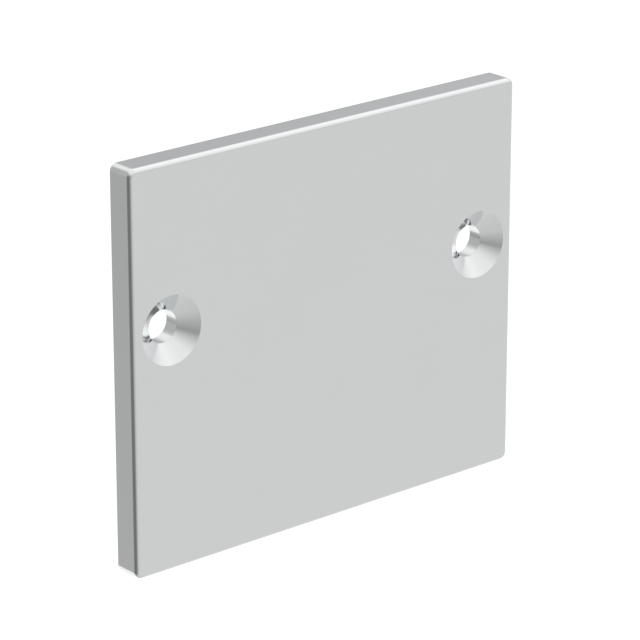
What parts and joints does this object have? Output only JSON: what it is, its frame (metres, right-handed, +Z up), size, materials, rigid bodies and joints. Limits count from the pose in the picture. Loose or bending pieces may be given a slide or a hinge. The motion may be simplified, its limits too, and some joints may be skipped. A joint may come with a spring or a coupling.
{
  "type": "channel end cap",
  "caption": "Flat rectangular end cap for a channel, with rounded front edges and a countersunk screw hole near each side.",
  "frame": {"origin": "middle of the back face, which seats on the end of the channel", "axes": "+X across the cap, +Y out of the back face into the channel, +Z up; the front face looks along -Y"},
  "size_m": [0.08, 0.005, 0.068],
  "materials": {
    "satin_aluminium": "satin, natural anodised, with bright turned countersinks"
  },
  "bodies": {
    "root": {"end_cap": "satin_aluminium"}
  },
  "joints": []
}
